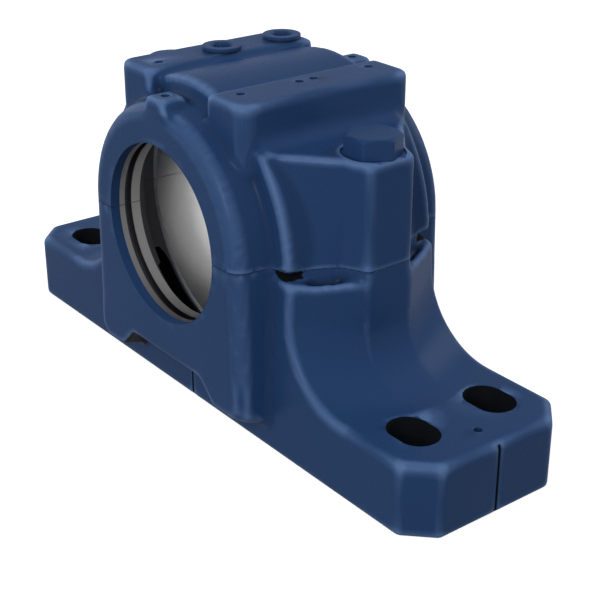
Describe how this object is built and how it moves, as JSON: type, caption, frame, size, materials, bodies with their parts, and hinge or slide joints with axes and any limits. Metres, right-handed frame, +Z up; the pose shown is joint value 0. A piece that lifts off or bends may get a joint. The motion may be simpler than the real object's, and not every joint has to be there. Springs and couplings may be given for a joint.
{
  "type": "split plummer block",
  "caption": "Split cast housing for a shaft bearing: a base with slotted feet and a bolted cap, both bored through for the shaft.",
  "frame": {"origin": "on the floor, under the middle of the base", "axes": "+X along the base towards the right foot, +Y along the shaft away from the open end that the picture shows, +Z up"},
  "size_m": [0.255, 0.094, 0.1263],
  "materials": {
    "painted_casting": "grey iron with a satin blue paint, bored faces bare",
    "painted_bolt": "steel painted over with the casting",
    "ground_steel": "hardened and ground steel",
    "seal": "black rubber sealing ring"
  },
  "bodies": {
    "root": {"base_casting": "painted_casting", "cap_casting": "painted_casting", "cap_bolt_left": "painted_bolt", "cap_bolt_right": "painted_bolt", "dowel_left": "ground_steel", "dowel_right": "ground_steel", "plug_centre": "painted_bolt", "plug_back": "painted_bolt", "seal_ring_centre": "seal", "seal_ring_back": "seal"}
  },
  "joints": []
}
